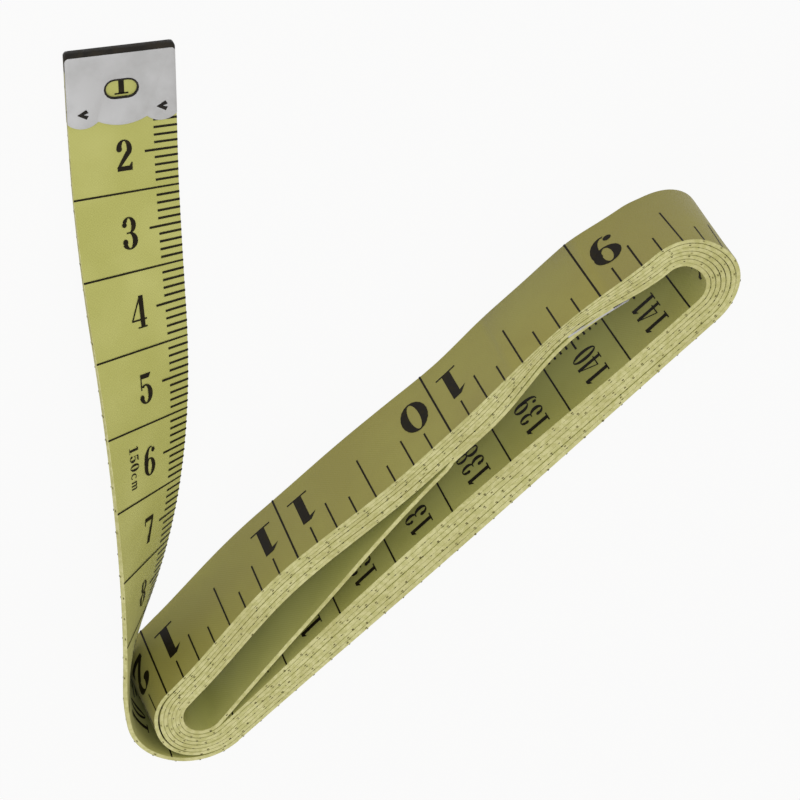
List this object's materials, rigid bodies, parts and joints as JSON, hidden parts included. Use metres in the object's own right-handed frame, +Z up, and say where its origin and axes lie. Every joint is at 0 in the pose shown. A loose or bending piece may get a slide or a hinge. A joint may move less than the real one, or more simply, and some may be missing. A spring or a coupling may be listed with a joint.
{
  "type": "cloth tape measure",
  "caption": "Yellow-green cloth tape measure hand-wound into a long oval coil on its edges, with its clipped zero end drawn out flat and its blank end loose inside.",
  "frame": {"origin": "on the table, under the middle of the whole object's box", "axes": "+X along the coil, from the end where the leader leaves to the plain end; +Y from the coil towards the leader's clip; +Z up, across the tape's width"},
  "size_m": [0.1004, 0.0821, 0.0142],
  "materials": {
    "cloth": "coated woven tape, satin, printed in dark brown",
    "steel": "thin bright sheet, lightly worn"
  },
  "bodies": {
    "coil": {"tape_coil": "cloth"},
    "leader": {"tape_leader": "cloth"},
    "tip": {"tape_tip": "cloth", "leader_clip": "steel"},
    "tail": {"tape_tail": "cloth", "tail_clip": "steel"}
  },
  "joints": [
    {"name": "leader_swing", "type": "hinge", "parent": "coil", "child": "leader", "pos_m": [-0.04148, -0.04063, 0], "axis": [0, 0, 1], "range_deg": [0, 100]},
    {"name": "tip_lift", "type": "hinge", "parent": "leader", "child": "tip", "pos_m": [-0.00343, 0.00709, 0.00201], "axis": [0.7191, -0.6416, -0.2669], "range_deg": [0, 75]},
    {"name": "tail_swing", "type": "hinge", "parent": "coil", "child": "tail", "pos_m": [-0.04071, -0.03611, 0], "axis": [0, 0, 1], "range_deg": [-3, 0]}
  ]
}
